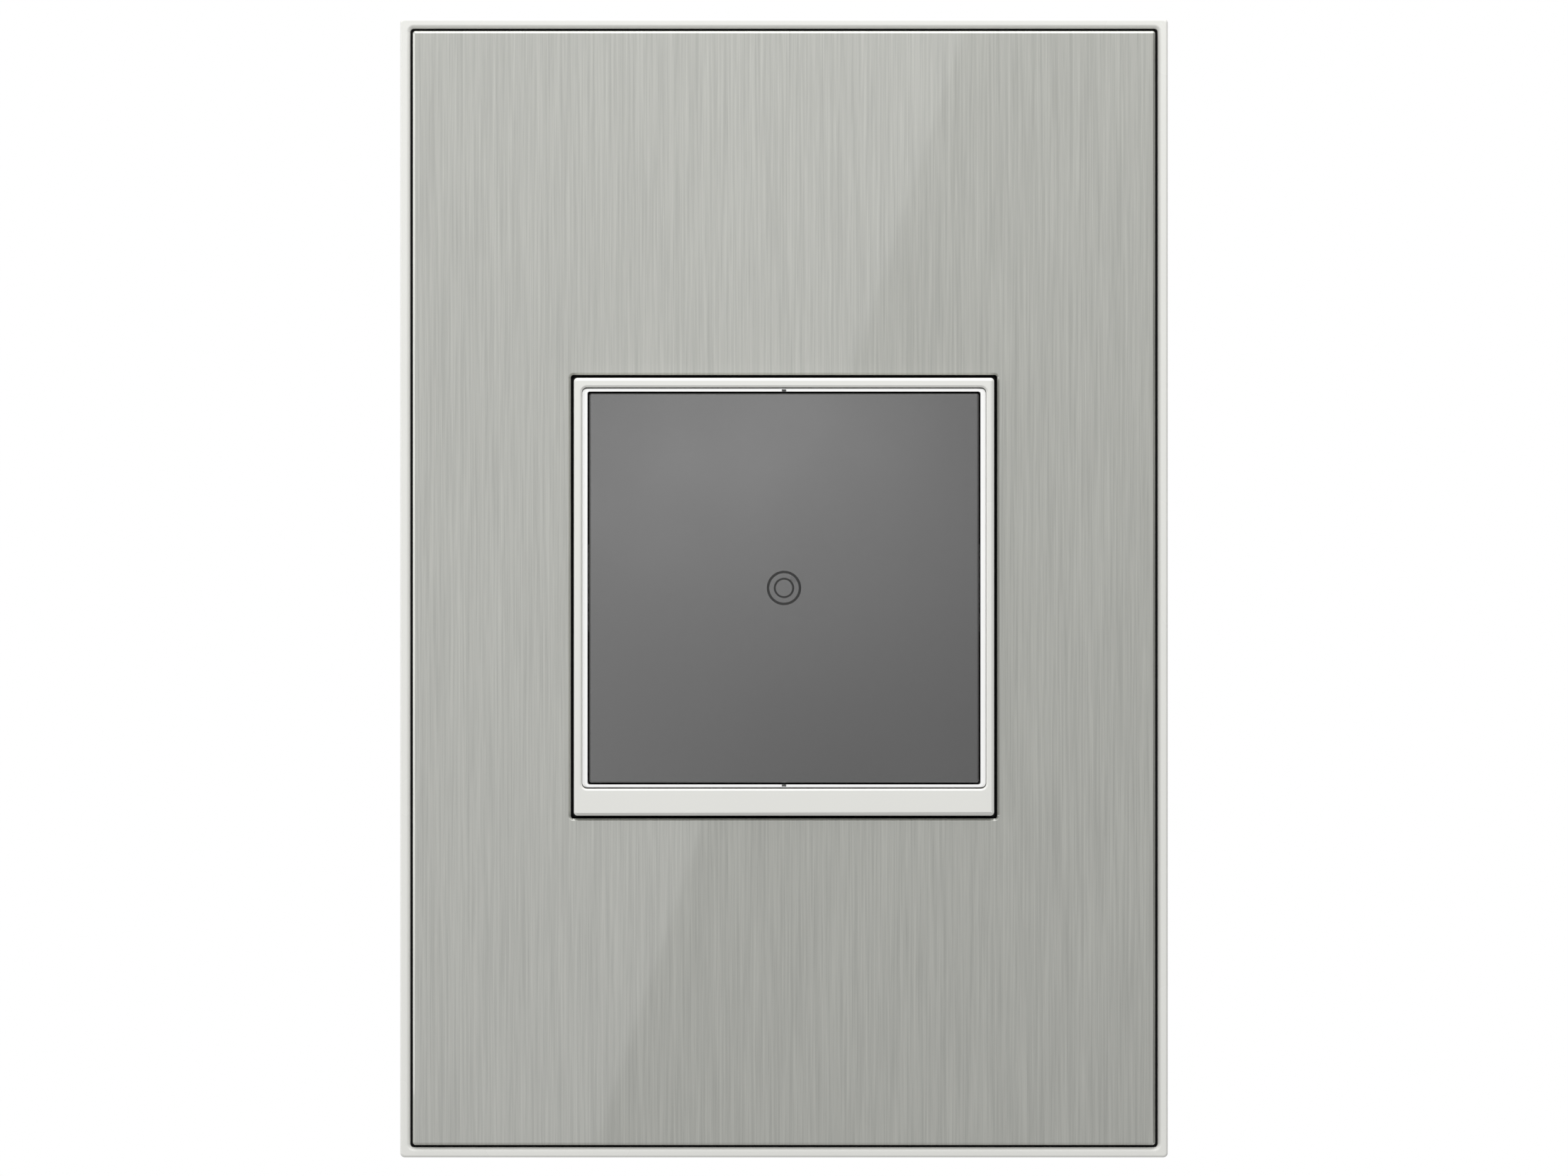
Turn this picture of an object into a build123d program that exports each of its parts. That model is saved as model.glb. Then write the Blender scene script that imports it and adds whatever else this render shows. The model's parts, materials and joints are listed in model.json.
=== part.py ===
"""One-gang wall switch with a screwless plate, a flush square key and a push-push rocker mechanism.

Frame: X to the right, Y into the wall and Z up. The plane Y = 0 is the wall's surface, and the origin is
the middle of the plate on that plane. What stands in front of the wall has a negative Y. All in mm.
"""
import os
from math import atan, cos, degrees, radians, sin

from build123d import *

os.makedirs("parts", exist_ok=True)

# ---------------------------------------------------------------- driving dimensions: wall plate
PLATE_W = 87.6
PLATE_H = 130.0
PLATE_CORNER = 0.5
RIM_FACE = 1.15
RIM_WALL = 1.8
RIM_FRONT = -9.0
RIM_ROUND = 0.3
RIM_BEVEL = 0.35
WEB_FRONT = -7.3
WEB_BACK = -5.8
WEB_WINDOW = (49.6, 51.6)
PANEL_W = 84.7
PANEL_H = 127.1
PANEL_CORNER = 0.3
PANEL_EDGE = 0.24
PANEL_FRONT = -9.3
PANEL_BACK = -8.5
OPENING = (48.65, 50.6)
OPENING_Z = -1.0
BACKER_FRONT = -8.3
BACKER_LIP_FRONT = -8.6
BACKER_WINDOW = (48.3, 50.25)
FIT = 0.05

# ---------------------------------------------------------------- driving dimensions: key and its frame
KEY_SIZE = 44.4
KEY_FRONT = -9.9
KEY_BACK = -8.3
KEY_SKIRT_BACK = -7.4
KEY_WALL = 1.3
KEY_CORNER = 0.3
KEY_EDGE = 0.18
APERTURE = 44.8
BEZEL = (47.9, 49.9)
BEZEL_FRONT = -10.0
BEZEL_BACK = -8.5
BEZEL_CORNER = 0.4
BEZEL_EDGE = 0.3
STEP = (46.1, 45.75)
STEP_EDGE = 0.2
LIP = (45.5, 45.4)
LIP_FRONT = -9.85
LIP_SHOULDER_W = 46.0
LIP_SHOULDER_FRONT = -9.65
LIP_NOTCH = (0.5, 0.25)
OUTER_RING = (1.95, 1.69)
INNER_RING = (1.15, 0.95)
RING_DEPTH = 0.15

# ---------------------------------------------------------------- driving dimensions: movement
TRAVEL = 1.6
ROCK_Y = -5.0
YOKE_FRONT = -3.9
YOKE_BACK = -2.4
YOKE = (38.0, 41.0)
PIN_R = 1.0
RUNNING = 0.06
SPRING_X = 13.0
SPRING_Z = 13.0
SPRING_BOTTOM = 6.0
SPRING_R = (2.6, 2.0)
AXLE_Y = 12.5
AXLE_R = 1.5
AXLE_HALF = 9.0
DRIVE_ARM = 8.0
ROCKER_REST = degrees(atan(TRAVEL / 2 / DRIVE_ARM))
PLUNGER_TIP = 9.0
BLADE_Y = 22.0
BLADE_REST = -4.0
BLADE_THICK = 0.8
CONTACT_Z = 9.0
LATCH_X = 1.0
LATCH_Y = 17.0
LATCH_TIP_Y = 10.0
LATCH_Z = -9.4
LATCH_R = 0.5

# ---------------------------------------------------------------- driving dimensions: housing and strap
FLANGE = (50.0, 66.0)
FLANGE_FRONT = -3.8
STRAP_FRONT = -2.3
STRAP_BACK = -0.8
STRAP_WINDOW = (44.4, 56.4)
HOUSING = (44.0, 56.0)
HOUSING_WALL = 1.8
DECK = (-0.5, 1.5)
SPLIT_Y = 8.0
REAR_INNER_Y = 26.0
REAR_Y = 28.0
POST = 6.0
POST_INTO_WALL = 0.6
POST_X = HOUSING[0] / 2 - HOUSING_WALL - POST / 2 + POST_INTO_WALL
POST_Z = HOUSING[1] / 2 - HOUSING_WALL - POST / 2 + POST_INTO_WALL
POSTS = (2 * POST_X, 2 * POST_Z)
BOX_SCREW_SPACING = 83.34
BOX_SCREW_R = 1.75
BOX_SCREW_LENGTH = 22.0
STRAP_SCREWS = (34.0, 61.2)
BAY_FLOOR = 17.2
BAY_WALL = 1.8
BAY_HALF = 6.0
BAY_Y = (12.0, REAR_INNER_Y)
TERMINAL_Z = 12.0
TERMINAL_SCREW_Y = 19.0
WIRE_X = 19.5
WIRE_Z = 3.6
WIRE_HOLE_R = 1.3
CROSS_LENGTH = 3.0
CROSS_WIDTH = 0.7
CROSS_DEPTH = 0.8


def facing(y):
    """A plane parallel to the wall at depth y, facing the room: local x is X and local y is Z."""
    return Plane.XZ.offset(-y)


def block(x, y, z, mode=Mode.ADD):
    """A box between three pairs of limits, in the part being built."""
    centre = [(pair[0] + pair[1]) / 2 for pair in (x, y, z)]
    size = [abs(pair[1] - pair[0]) for pair in (x, y, z)]
    with Locations(tuple(centre)):
        Box(*size, mode=mode)


def slab(y_back, y_front, size, corner, z=0.0, mode=Mode.ADD):
    """A rounded rectangular slab parallel to the wall, in the part being built."""
    with BuildSketch(facing(y_back)) as outline:
        with Locations((0, z)):
            RectangleRounded(*size, corner)
    extrude(outline.sketch, amount=y_back - y_front, mode=mode)


def peg(centre, direction, radius, length, mode=Mode.ADD):
    """A round peg that starts at centre and runs along direction, in the part being built."""
    with BuildSketch(Plane(origin=centre, z_dir=direction)) as section:
        Circle(radius)
    extrude(section.sketch, amount=length, mode=mode)


def tilted(y, degrees_about_x):
    """The plane through (0, y, 0) square to X, its own x pointing into the wall, turned about X."""
    angle = radians(degrees_about_x)
    return Plane(origin=(0, y, 0), x_dir=(0, cos(angle), sin(angle)), z_dir=(1, 0, 0))


def pegs(y, spacing, radius, depth, mode=Mode.ADD):
    """Four round pegs on a rectangle of the given spacing, from y so deep into the wall."""
    with BuildSketch(facing(y)) as sections:
        with GridLocations(*spacing, 2, 2):
            Circle(radius)
    extrude(sections.sketch, amount=-depth, mode=mode)


def cross_slots(y, spacing):
    """Four cross-shaped driver recesses cut on a rectangle of the given spacing, from y into the wall."""
    with BuildSketch(facing(y)) as crosses:
        with GridLocations(*spacing, 2, 2):
            Rectangle(CROSS_LENGTH, CROSS_WIDTH)
            Rectangle(CROSS_WIDTH, CROSS_LENGTH)
    extrude(crosses.sketch, amount=-CROSS_DEPTH, mode=Mode.SUBTRACT)


def front_edges(builder):
    """The edges of the face nearest to the room."""
    return builder.faces().sort_by(Axis.Y)[0].edges()


def save(part, name):
    """Label one finished piece and write it."""
    part.label = name
    export_step(part, f"parts/{name}.step")


# ================================================================ wall plate
POCKET = (PLATE_W - 2 * RIM_FACE, PLATE_H - 2 * RIM_FACE)
HOLLOW = (PLATE_W - 2 * RIM_WALL, PLATE_H - 2 * RIM_WALL)
HOOK_X = 14.0
HOOK_W = 5.0
HOOK_Z = (49.2, 50.4)
HOOK_NOSE = 0.8
HOOK_NOSE_Y = (-0.75, -0.15)
CATCH_HOLE = (6.0, 3.0)
CATCH_Z = 49.1
POCKET_CORNER = 0.4
HOLLOW_CORNER = 0.8
RIB = (1.2, 1.6)
RIB_X = 33.0
RIB_Z = 57.0

with BuildPart() as plate_rim:
    slab(0, RIM_FRONT, (PLATE_W, PLATE_H), PLATE_CORNER)
    fillet(front_edges(plate_rim), RIM_ROUND)
    slab(WEB_FRONT, RIM_FRONT, POCKET, POCKET_CORNER, mode=Mode.SUBTRACT)
    rim_inner_edges = plate_rim.faces().sort_by(Axis.Y)[0].inner_wires()[0].edges()
    chamfer(rim_inner_edges, RIM_BEVEL)
    slab(0, WEB_BACK, HOLLOW, HOLLOW_CORNER, mode=Mode.SUBTRACT)
    slab(WEB_BACK, WEB_FRONT, WEB_WINDOW, HOLLOW_CORNER, z=OPENING_Z, mode=Mode.SUBTRACT)
    rib_y = (WEB_BACK, WEB_BACK + RIB[1])
    for side in (-1, 1):
        rib_x = side * RIB_X
        rib_z = side * RIB_Z
        block((rib_x - RIB[0] / 2, rib_x + RIB[0] / 2), rib_y, (-HOLLOW[1] / 2, HOLLOW[1] / 2))
        block((-HOLLOW[0] / 2, HOLLOW[0] / 2), rib_y, (rib_z - RIB[0] / 2, rib_z + RIB[0] / 2))
    for x in (-HOOK_X, HOOK_X):
        for side in (-1, 1):
            shank = [side * z for z in HOOK_Z]
            nose = [side * HOOK_Z[1], side * (HOOK_Z[1] + HOOK_NOSE)]
            block((x - HOOK_W / 2, x + HOOK_W / 2), (WEB_BACK, HOOK_NOSE_Y[1]), shank)
            block((x - HOOK_W / 2, x + HOOK_W / 2), HOOK_NOSE_Y, nose)
save(plate_rim.part, "plate_rim")

BACKER = (POCKET[0] - 2 * FIT, POCKET[1] - 2 * FIT)
BACKER_TRAY = (PANEL_W + 2 * FIT, PANEL_H + 2 * FIT)
TAPE_MARGIN = 1.5
TAPE = (PANEL_W - 2 * TAPE_MARGIN, PANEL_H - 2 * TAPE_MARGIN)
TAPE_WINDOW = (OPENING[0] + 2 * TAPE_MARGIN, OPENING[1] + 2 * TAPE_MARGIN)
TAPE_CORNER = 2.0

with BuildPart() as panel_backer:
    slab(WEB_FRONT, BACKER_LIP_FRONT, BACKER, PANEL_CORNER)
    slab(BACKER_FRONT, BACKER_LIP_FRONT, BACKER_TRAY, PANEL_CORNER, mode=Mode.SUBTRACT)
    slab(WEB_FRONT, BACKER_FRONT, BACKER_WINDOW, PANEL_CORNER, z=OPENING_Z, mode=Mode.SUBTRACT)
save(panel_backer.part, "panel_backer")

with BuildPart() as panel_adhesive:
    slab(BACKER_FRONT, PANEL_BACK, TAPE, TAPE_CORNER)
    slab(BACKER_FRONT, PANEL_BACK, TAPE_WINDOW, TAPE_CORNER, z=OPENING_Z, mode=Mode.SUBTRACT)
save(panel_adhesive.part, "panel_adhesive")

with BuildPart() as steel_panel:
    slab(PANEL_BACK, PANEL_FRONT, (PANEL_W, PANEL_H), PANEL_CORNER)
    slab(PANEL_BACK, PANEL_FRONT, OPENING, PANEL_CORNER, z=OPENING_Z, mode=Mode.SUBTRACT)
    chamfer(front_edges(steel_panel), PANEL_EDGE)
save(steel_panel.part, "steel_panel")

# ================================================================ strap and its fasteners
STRAP_W = 50.0
STRAP_SHOULDER_Z = 36.0
EAR_W = 38.0
EAR_Z = 54.0
STRAP_CORNERS = (2.0, 3.0, 1.0)
STRAP_SLOT = (7.0, 4.2)
STRAP_SCREW_R = 1.25
STRAP_SCREW_END = 3.6
PAN_HEAD = (2.5, 1.4)
PAN_ROUND = 0.5
BOX_HEAD_R = 3.4
BOX_HEAD = (1.0, 1.1)
BOX_HEAD_TAPER = 38
BOX_NECK_R = BOX_SCREW_R - 0.15
BOX_TIP = 0.5
RETAINER_BACK = -0.1
RETAINER_HALF = 4.0
SLOT_HALF = 0.5
SLOT_REACH = 4.0
GROUND_X = -10.5
GROUND_Y = 4.0
GROUND_TAB_Z = (-31.8, -30.6)
GROUND_TAB_HALF = 4.0
GROUND_TAB_END = 8.0
GROUND_SCREW_R = 1.6
GROUND_SCREW_LENGTH = 3.6
GROUND_HEAD = (3.2, 2.0)
GROUND_CLAMP_THICK = 0.8
BEND_OVERLAP = 0.2

with BuildPart() as mounting_strap:
    with BuildSketch(facing(STRAP_BACK)) as strap_outline:
        RectangleRounded(STRAP_W, 2 * STRAP_SHOULDER_Z, STRAP_CORNERS[0])
        RectangleRounded(EAR_W, 2 * EAR_Z, STRAP_CORNERS[1])
        RectangleRounded(*STRAP_WINDOW, STRAP_CORNERS[2], mode=Mode.SUBTRACT)
        with GridLocations(0, BOX_SCREW_SPACING, 1, 2):
            SlotOverall(*STRAP_SLOT, mode=Mode.SUBTRACT)
        with GridLocations(2 * HOOK_X, 2 * CATCH_Z, 2, 2):
            Rectangle(*CATCH_HOLE, mode=Mode.SUBTRACT)
        with GridLocations(*STRAP_SCREWS, 2, 2):
            Circle(STRAP_SCREW_R + FIT, mode=Mode.SUBTRACT)
    extrude(amount=STRAP_BACK - STRAP_FRONT)
    tab_x = (GROUND_X - GROUND_TAB_HALF, GROUND_X + GROUND_TAB_HALF)
    block(tab_x, (STRAP_BACK - BEND_OVERLAP, GROUND_TAB_END), GROUND_TAB_Z)
    tab_thick = GROUND_TAB_Z[1] - GROUND_TAB_Z[0]
    tab_hole = (GROUND_X, GROUND_Y, GROUND_TAB_Z[0])
    peg(tab_hole, (0, 0, 1), GROUND_SCREW_R + FIT, tab_thick, mode=Mode.SUBTRACT)
save(mounting_strap.part, "mounting_strap")

with BuildPart() as box_screws:
    for z in (-BOX_SCREW_SPACING / 2, BOX_SCREW_SPACING / 2):
        peg((0, STRAP_FRONT, z), (0, -1, 0), BOX_HEAD_R, BOX_HEAD[0])
        with BuildSketch(Plane(origin=(0, STRAP_FRONT - BOX_HEAD[0], z), z_dir=(0, -1, 0))):
            Circle(BOX_HEAD_R)
        extrude(amount=BOX_HEAD[1], taper=BOX_HEAD_TAPER)
        peg((0, STRAP_FRONT, z), (0, 1, 0), BOX_NECK_R, -STRAP_FRONT)
        peg((0, 0, z), (0, 1, 0), BOX_SCREW_R, BOX_SCREW_LENGTH)
        head_top = STRAP_FRONT - BOX_HEAD[0] - BOX_HEAD[1]
        slot_y = (head_top, head_top + BOX_HEAD[1])
        block((-SLOT_REACH, SLOT_REACH), slot_y, (z - SLOT_HALF, z + SLOT_HALF), mode=Mode.SUBTRACT)
    tips = box_screws.faces().filter_by(Axis.Y).group_by(Axis.Y)[-1].edges()
    chamfer(tips, BOX_TIP)
save(box_screws.part, "box_screws")

with BuildPart() as screw_retainers:
    for z in (-BOX_SCREW_SPACING / 2, BOX_SCREW_SPACING / 2):
        square_z = (z - RETAINER_HALF, z + RETAINER_HALF)
        block((-RETAINER_HALF, RETAINER_HALF), (STRAP_BACK, RETAINER_BACK), square_z)
        thick = RETAINER_BACK - STRAP_BACK
        peg((0, STRAP_BACK, z), (0, 1, 0), BOX_NECK_R + FIT, thick, mode=Mode.SUBTRACT)
save(screw_retainers.part, "screw_retainers")

with BuildPart() as strap_screws:
    pegs(FLANGE_FRONT - PAN_HEAD[1], STRAP_SCREWS, PAN_HEAD[0], PAN_HEAD[1])
    fillet(strap_screws.faces().filter_by(Axis.Y).group_by(Axis.Y)[0].edges(), PAN_ROUND)
    pegs(FLANGE_FRONT, STRAP_SCREWS, STRAP_SCREW_R, STRAP_SCREW_END)
    cross_slots(FLANGE_FRONT - PAN_HEAD[1], STRAP_SCREWS)
save(strap_screws.part, "strap_screws")

with BuildPart() as ground_clamp:
    clamp_z = (GROUND_TAB_Z[0] - GROUND_CLAMP_THICK, GROUND_TAB_Z[0])
    clamp_y = (GROUND_Y - GROUND_TAB_HALF + FIT, GROUND_Y + GROUND_TAB_HALF - FIT)
    block(tab_x, clamp_y, clamp_z)
    clamp_hole = (GROUND_X, GROUND_Y, clamp_z[0])
    peg(clamp_hole, (0, 0, 1), GROUND_SCREW_R + 2 * FIT, GROUND_CLAMP_THICK, mode=Mode.SUBTRACT)
save(ground_clamp.part, "ground_clamp")

with BuildPart() as ground_screw:
    with BuildSketch(Plane(origin=(GROUND_X, GROUND_Y, clamp_z[0]), z_dir=(0, 0, -1))):
        RegularPolygon(GROUND_HEAD[0], 6)
    extrude(amount=GROUND_HEAD[1])
    peg((GROUND_X, GROUND_Y, clamp_z[0]), (0, 0, 1), GROUND_SCREW_R, GROUND_SCREW_LENGTH)
    head_z = clamp_z[0] - GROUND_HEAD[1]
    slot_y = (GROUND_Y - SLOT_HALF, GROUND_Y + SLOT_HALF)
    block(tab_x, slot_y, (head_z, head_z + CROSS_DEPTH), mode=Mode.SUBTRACT)
save(ground_screw.part, "ground_screw")

# ================================================================ bezel, guide frame and key
EAR_HALF = 3.0
KEY_EAR_BACK = -3.6
KEY_EAR_THICK = 1.7
KEY_EAR_Z = (KEY_SIZE / 2 - KEY_EAR_THICK, KEY_SIZE / 2)
KEY_RIB_Z = 9.0
KEY_RIB = (36.0, 0.7, 1.0)
INNER_CORNER = 0.5
STEP_CORNER = 0.6
APERTURE_CORNER = 0.25
YOKE_STOP_X = 18.0
YOKE_STOP_Y = (-5.2, -4.0)
YOKE_STOP_HALF = 5.0
STAKE_X = (22.7, 23.7)
STAKE_Z = (13.0, 17.0)
STAKE_BACK = -2.4

with BuildPart() as bezel:
    slab(BEZEL_BACK, BEZEL_FRONT, BEZEL, BEZEL_CORNER, z=OPENING_Z)
    chamfer(front_edges(bezel), BEZEL_EDGE)
    slab(BEZEL_BACK, BEZEL_FRONT, STEP, STEP_CORNER, mode=Mode.SUBTRACT)
    bezel_inner_edges = bezel.faces().sort_by(Axis.Y)[0].inner_wires()[0].edges()
    chamfer(bezel_inner_edges, STEP_EDGE)
save(bezel.part, "bezel")

with BuildPart() as guide_frame:
    slab(FLANGE_FRONT, BEZEL_BACK, BEZEL, BEZEL_CORNER, z=OPENING_Z)
    slab(BEZEL_BACK, LIP_FRONT, LIP, INNER_CORNER)
    slab(BEZEL_BACK, LIP_SHOULDER_FRONT, (LIP_SHOULDER_W, LIP[1]), INNER_CORNER)
    slab(FLANGE_FRONT, LIP_FRONT, (APERTURE, APERTURE), APERTURE_CORNER, mode=Mode.SUBTRACT)
    for side in (-1, 1):
        wall_x = side * (APERTURE / 2 + FIT)
        block((side * YOKE_STOP_X, wall_x), YOKE_STOP_Y, (-YOKE_STOP_HALF, YOKE_STOP_HALF))
        notch_x = (-LIP_NOTCH[0] / 2, LIP_NOTCH[0] / 2)
        notch_z = (side * APERTURE / 2, side * (APERTURE / 2 + LIP_NOTCH[1]))
        block(notch_x, (LIP_FRONT, BEZEL_BACK), notch_z, mode=Mode.SUBTRACT)
        for row in (-1, 1):
            stake_x = [side * x for x in STAKE_X]
            block(stake_x, (FLANGE_FRONT, STAKE_BACK), [row * z for z in STAKE_Z])
save(guide_frame.part, "guide_frame")


def rings(y, depth, mode=Mode.ADD):
    """The two concentric rings at the key's middle, from y so deep into the key."""
    with BuildSketch(facing(y)) as ring_pair:
        for outer, inner in (OUTER_RING, INNER_RING):
            Circle(outer)
            Circle(inner, mode=Mode.SUBTRACT)
    extrude(ring_pair.sketch, amount=-depth, mode=mode)


with BuildPart() as key_cap:
    slab(KEY_SKIRT_BACK, KEY_FRONT, (KEY_SIZE, KEY_SIZE), KEY_CORNER)
    chamfer(front_edges(key_cap), KEY_EDGE)
    key_inside = KEY_SIZE - 2 * KEY_WALL
    slab(KEY_SKIRT_BACK, KEY_BACK, (key_inside, key_inside), INNER_CORNER, mode=Mode.SUBTRACT)
    for side in (-1, 1):
        ear_z = [side * z for z in KEY_EAR_Z]
        block((-EAR_HALF, EAR_HALF), (KEY_EAR_BACK, KEY_BACK), ear_z)
        bore = (0, ROCK_Y, side * (KEY_EAR_Z[0] - FIT))
        peg(bore, (0, 0, side), PIN_R + RUNNING, KEY_EAR_THICK + 2 * FIT, mode=Mode.SUBTRACT)
        rib_z = (side * KEY_RIB_Z - KEY_RIB[2] / 2, side * KEY_RIB_Z + KEY_RIB[2] / 2)
        block((-KEY_RIB[0] / 2, KEY_RIB[0] / 2), (KEY_BACK - FIT, KEY_BACK + KEY_RIB[1]), rib_z)
    rings(KEY_FRONT, RING_DEPTH, mode=Mode.SUBTRACT)
save(key_cap.part, "key_cap")

with BuildPart() as ring_inlay:
    rings(KEY_FRONT, RING_DEPTH)
save(ring_inlay.part, "ring_inlay")

# ================================================================ yoke: the piece that is pushed in
YOKE_CORNER = 1.5
LUG_Z = (18.4, 20.2)
LUG_FRONT = -6.5
PIN_END = KEY_SIZE / 2 - 0.15
DRIVE_LEG_HALF = 1.1
DRIVE_LEG_Z = (DRIVE_ARM - DRIVE_LEG_HALF, DRIVE_ARM + DRIVE_LEG_HALF)
DRIVE_LEG_END = 13.2
DRIVE_PIN_Y = AXLE_Y - TRAVEL / 2
DRIVE_PIN_HALF = 6.4
CAM_LEG_X = (-3.8, 4.0)
CAM_LEG_Z = (-12.0, -10.0)
CAM_LEG_END = 13.0
TRACK_DEPTH = 1.0
TRACK = (6.4, 5.4, 1.2)
TRACK_MIDDLE = (-0.1, 9.1)
HEART = ((-0.9, 10.4), (0.1, 8.0), (-0.9, 8.7), (-1.9, 8.0))
LEG_FREE = 0.4
SEAT_R = 1.8
SEAT_DEPTH = 1.0
SPRINGS = (2 * SPRING_X, 2 * SPRING_Z)

with BuildPart() as key_yoke:
    slab(YOKE_BACK, YOKE_FRONT, YOKE, YOKE_CORNER)
    for side in (-1, 1):
        lug_z = [side * z for z in LUG_Z]
        block((-EAR_HALF, EAR_HALF), (YOKE_FRONT, LUG_FRONT), lug_z)
        lug_start = (0, ROCK_Y, side * LUG_Z[0])
        peg(lug_start, (0, 0, side), PIN_R, YOKE[1] / 2 - LUG_Z[0] + FIT, mode=Mode.SUBTRACT)
    pegs(YOKE_BACK, SPRINGS, SEAT_R, SEAT_DEPTH)
    block((-EAR_HALF, EAR_HALF), (YOKE_BACK, DRIVE_LEG_END), DRIVE_LEG_Z)
    pin_start = (-EAR_HALF, DRIVE_PIN_Y, DRIVE_ARM)
    peg(pin_start, (1, 0, 0), PIN_R, 2 * EAR_HALF, mode=Mode.SUBTRACT)
    block(CAM_LEG_X, (YOKE_BACK, CAM_LEG_END), CAM_LEG_Z)
    with BuildSketch(Plane.XY.offset(CAM_LEG_Z[1])) as heart_track:
        with Locations(TRACK_MIDDLE):
            RectangleRounded(*TRACK)
        with BuildLine():
            Polyline(*HEART, close=True)
        make_face(mode=Mode.SUBTRACT)
    extrude(amount=-TRACK_DEPTH, mode=Mode.SUBTRACT)
save(key_yoke.part, "key_yoke")

with BuildPart() as pivot_pins:
    for side in (-1, 1):
        peg((0, ROCK_Y, side * LUG_Z[0]), (0, 0, side), PIN_R, PIN_END - LUG_Z[0])
save(pivot_pins.part, "pivot_pins")

with BuildPart() as drive_pin:
    peg((-DRIVE_PIN_HALF, DRIVE_PIN_Y, DRIVE_ARM), (1, 0, 0), PIN_R, 2 * DRIVE_PIN_HALF)
save(drive_pin.part, "drive_pin")

LEAF_THICK = 0.3
LEAF_HALF = 3.0
LEAF_BASE_X = 6.0
LEAF_TIP_X = 15.5
LEAF_TIP = KEY_BACK + FIT
LEAF_BASE = YOKE_FRONT - LEAF_THICK
with BuildPart() as centring_leaf:
    with BuildSketch(Plane.XY.offset(-LEAF_HALF)):
        with BuildLine():
            room_side = (
                (-LEAF_TIP_X, LEAF_TIP),
                (-LEAF_BASE_X, LEAF_BASE),
                (LEAF_BASE_X, LEAF_BASE),
                (LEAF_TIP_X, LEAF_TIP),
            )
            wall_side = [(x, y + LEAF_THICK) for x, y in reversed(room_side)]
            Polyline(*room_side, *wall_side, close=True)
        make_face()
    extrude(amount=2 * LEAF_HALF)
save(centring_leaf.part, "centring_leaf")

# ================================================================ housing
BEARING_X = (7.0, AXLE_HALF)
BEARING_HALF = 3.0
BEARING_END = 15.2
CUP_R = 4.2
CUP_BORE = 3.1
CUP_FLOOR = 1.0
SCREW_R = 1.2
SCREW_TIP_Y = 2.4
SCREW_HOLE_END = 2.0
SCREW_HEAD = (2.3, 1.5)
COUNTERBORE = (2.4, 1.6)
SCREW_FREE = 0.15
HOUSING_CORNER = 1.0
HOUSING_BACK_ROUND = 0.8
PARTING = 0.3
HOUSING_INSIDE = (HOUSING[0] - 2 * HOUSING_WALL, HOUSING[1] - 2 * HOUSING_WALL)
FLANGE_CORNER = 1.5
LATCH_POST_X = (-1.5, 3.5)
LATCH_POST_Y = 15.5
LATCH_POST_Z = (-15.5, -12.2)
LATCH_BITE = 0.7
LATCH_FOOT = LATCH_POST_Z[0] + 0.3
STOP_PADS = (32.0, 8.0)
STOP_PAD_R = 1.8
STOP_GAP = 0.02
GAUGE = (12.0, 2.4, 0.4)

with BuildPart() as front_housing:
    slab(STRAP_FRONT, FLANGE_FRONT, FLANGE, FLANGE_CORNER)
    slab(SPLIT_Y, STRAP_FRONT, HOUSING, HOUSING_CORNER)
    chamfer(front_housing.faces().sort_by(Axis.Y)[-1].edges(), PARTING)
    slab(SPLIT_Y, FLANGE_FRONT, HOUSING_INSIDE, INNER_CORNER, mode=Mode.SUBTRACT)
    slab(DECK[1], DECK[0], HOUSING_INSIDE, INNER_CORNER)
    with BuildSketch(facing(SPLIT_Y)):
        with GridLocations(*POSTS, 2, 2):
            Rectangle(POST, POST)
    extrude(amount=SPLIT_Y - DECK[1])
    pegs(DECK[1], SPRINGS, CUP_R, SPRING_BOTTOM + CUP_FLOOR - DECK[1])
    pegs(DECK[0], SPRINGS, CUP_BORE, SPRING_BOTTOM - DECK[0], mode=Mode.SUBTRACT)
    for side in (-1, 1):
        bearing_x = [side * x for x in BEARING_X]
        block(bearing_x, (DECK[1], BEARING_END), (-BEARING_HALF, BEARING_HALF))
        for row in (-1, 1):
            slot_x = (side * (STAKE_X[0] - FIT), side * (STAKE_X[1] + FIT))
            slot_z = (row * (STAKE_Z[0] - FIT), row * (STAKE_Z[1] + FIT))
            block(slot_x, (FLANGE_FRONT, STRAP_FRONT), slot_z, mode=Mode.SUBTRACT)
    peg((-AXLE_HALF, AXLE_Y, 0), (1, 0, 0), AXLE_R, 2 * AXLE_HALF, mode=Mode.SUBTRACT)
    drive_slot_x = (-EAR_HALF - LEG_FREE, EAR_HALF + LEG_FREE)
    drive_slot_z = (DRIVE_LEG_Z[0] - LEG_FREE, DRIVE_LEG_Z[1] + LEG_FREE)
    block(drive_slot_x, DECK, drive_slot_z, mode=Mode.SUBTRACT)
    cam_slot_x = (CAM_LEG_X[0] - LEG_FREE, CAM_LEG_X[1] + LEG_FREE)
    cam_slot_z = (CAM_LEG_Z[0] - LEG_FREE, CAM_LEG_Z[1] + LEG_FREE)
    block(cam_slot_x, DECK, cam_slot_z, mode=Mode.SUBTRACT)
    pegs(SCREW_HOLE_END, POSTS, SCREW_R, SPLIT_Y - SCREW_HOLE_END, mode=Mode.SUBTRACT)
    flange_thick = STRAP_FRONT - FLANGE_FRONT
    pegs(FLANGE_FRONT, STRAP_SCREWS, STRAP_SCREW_R + SCREW_FREE, flange_thick, mode=Mode.SUBTRACT)
save(front_housing.part, "front_housing")

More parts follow.
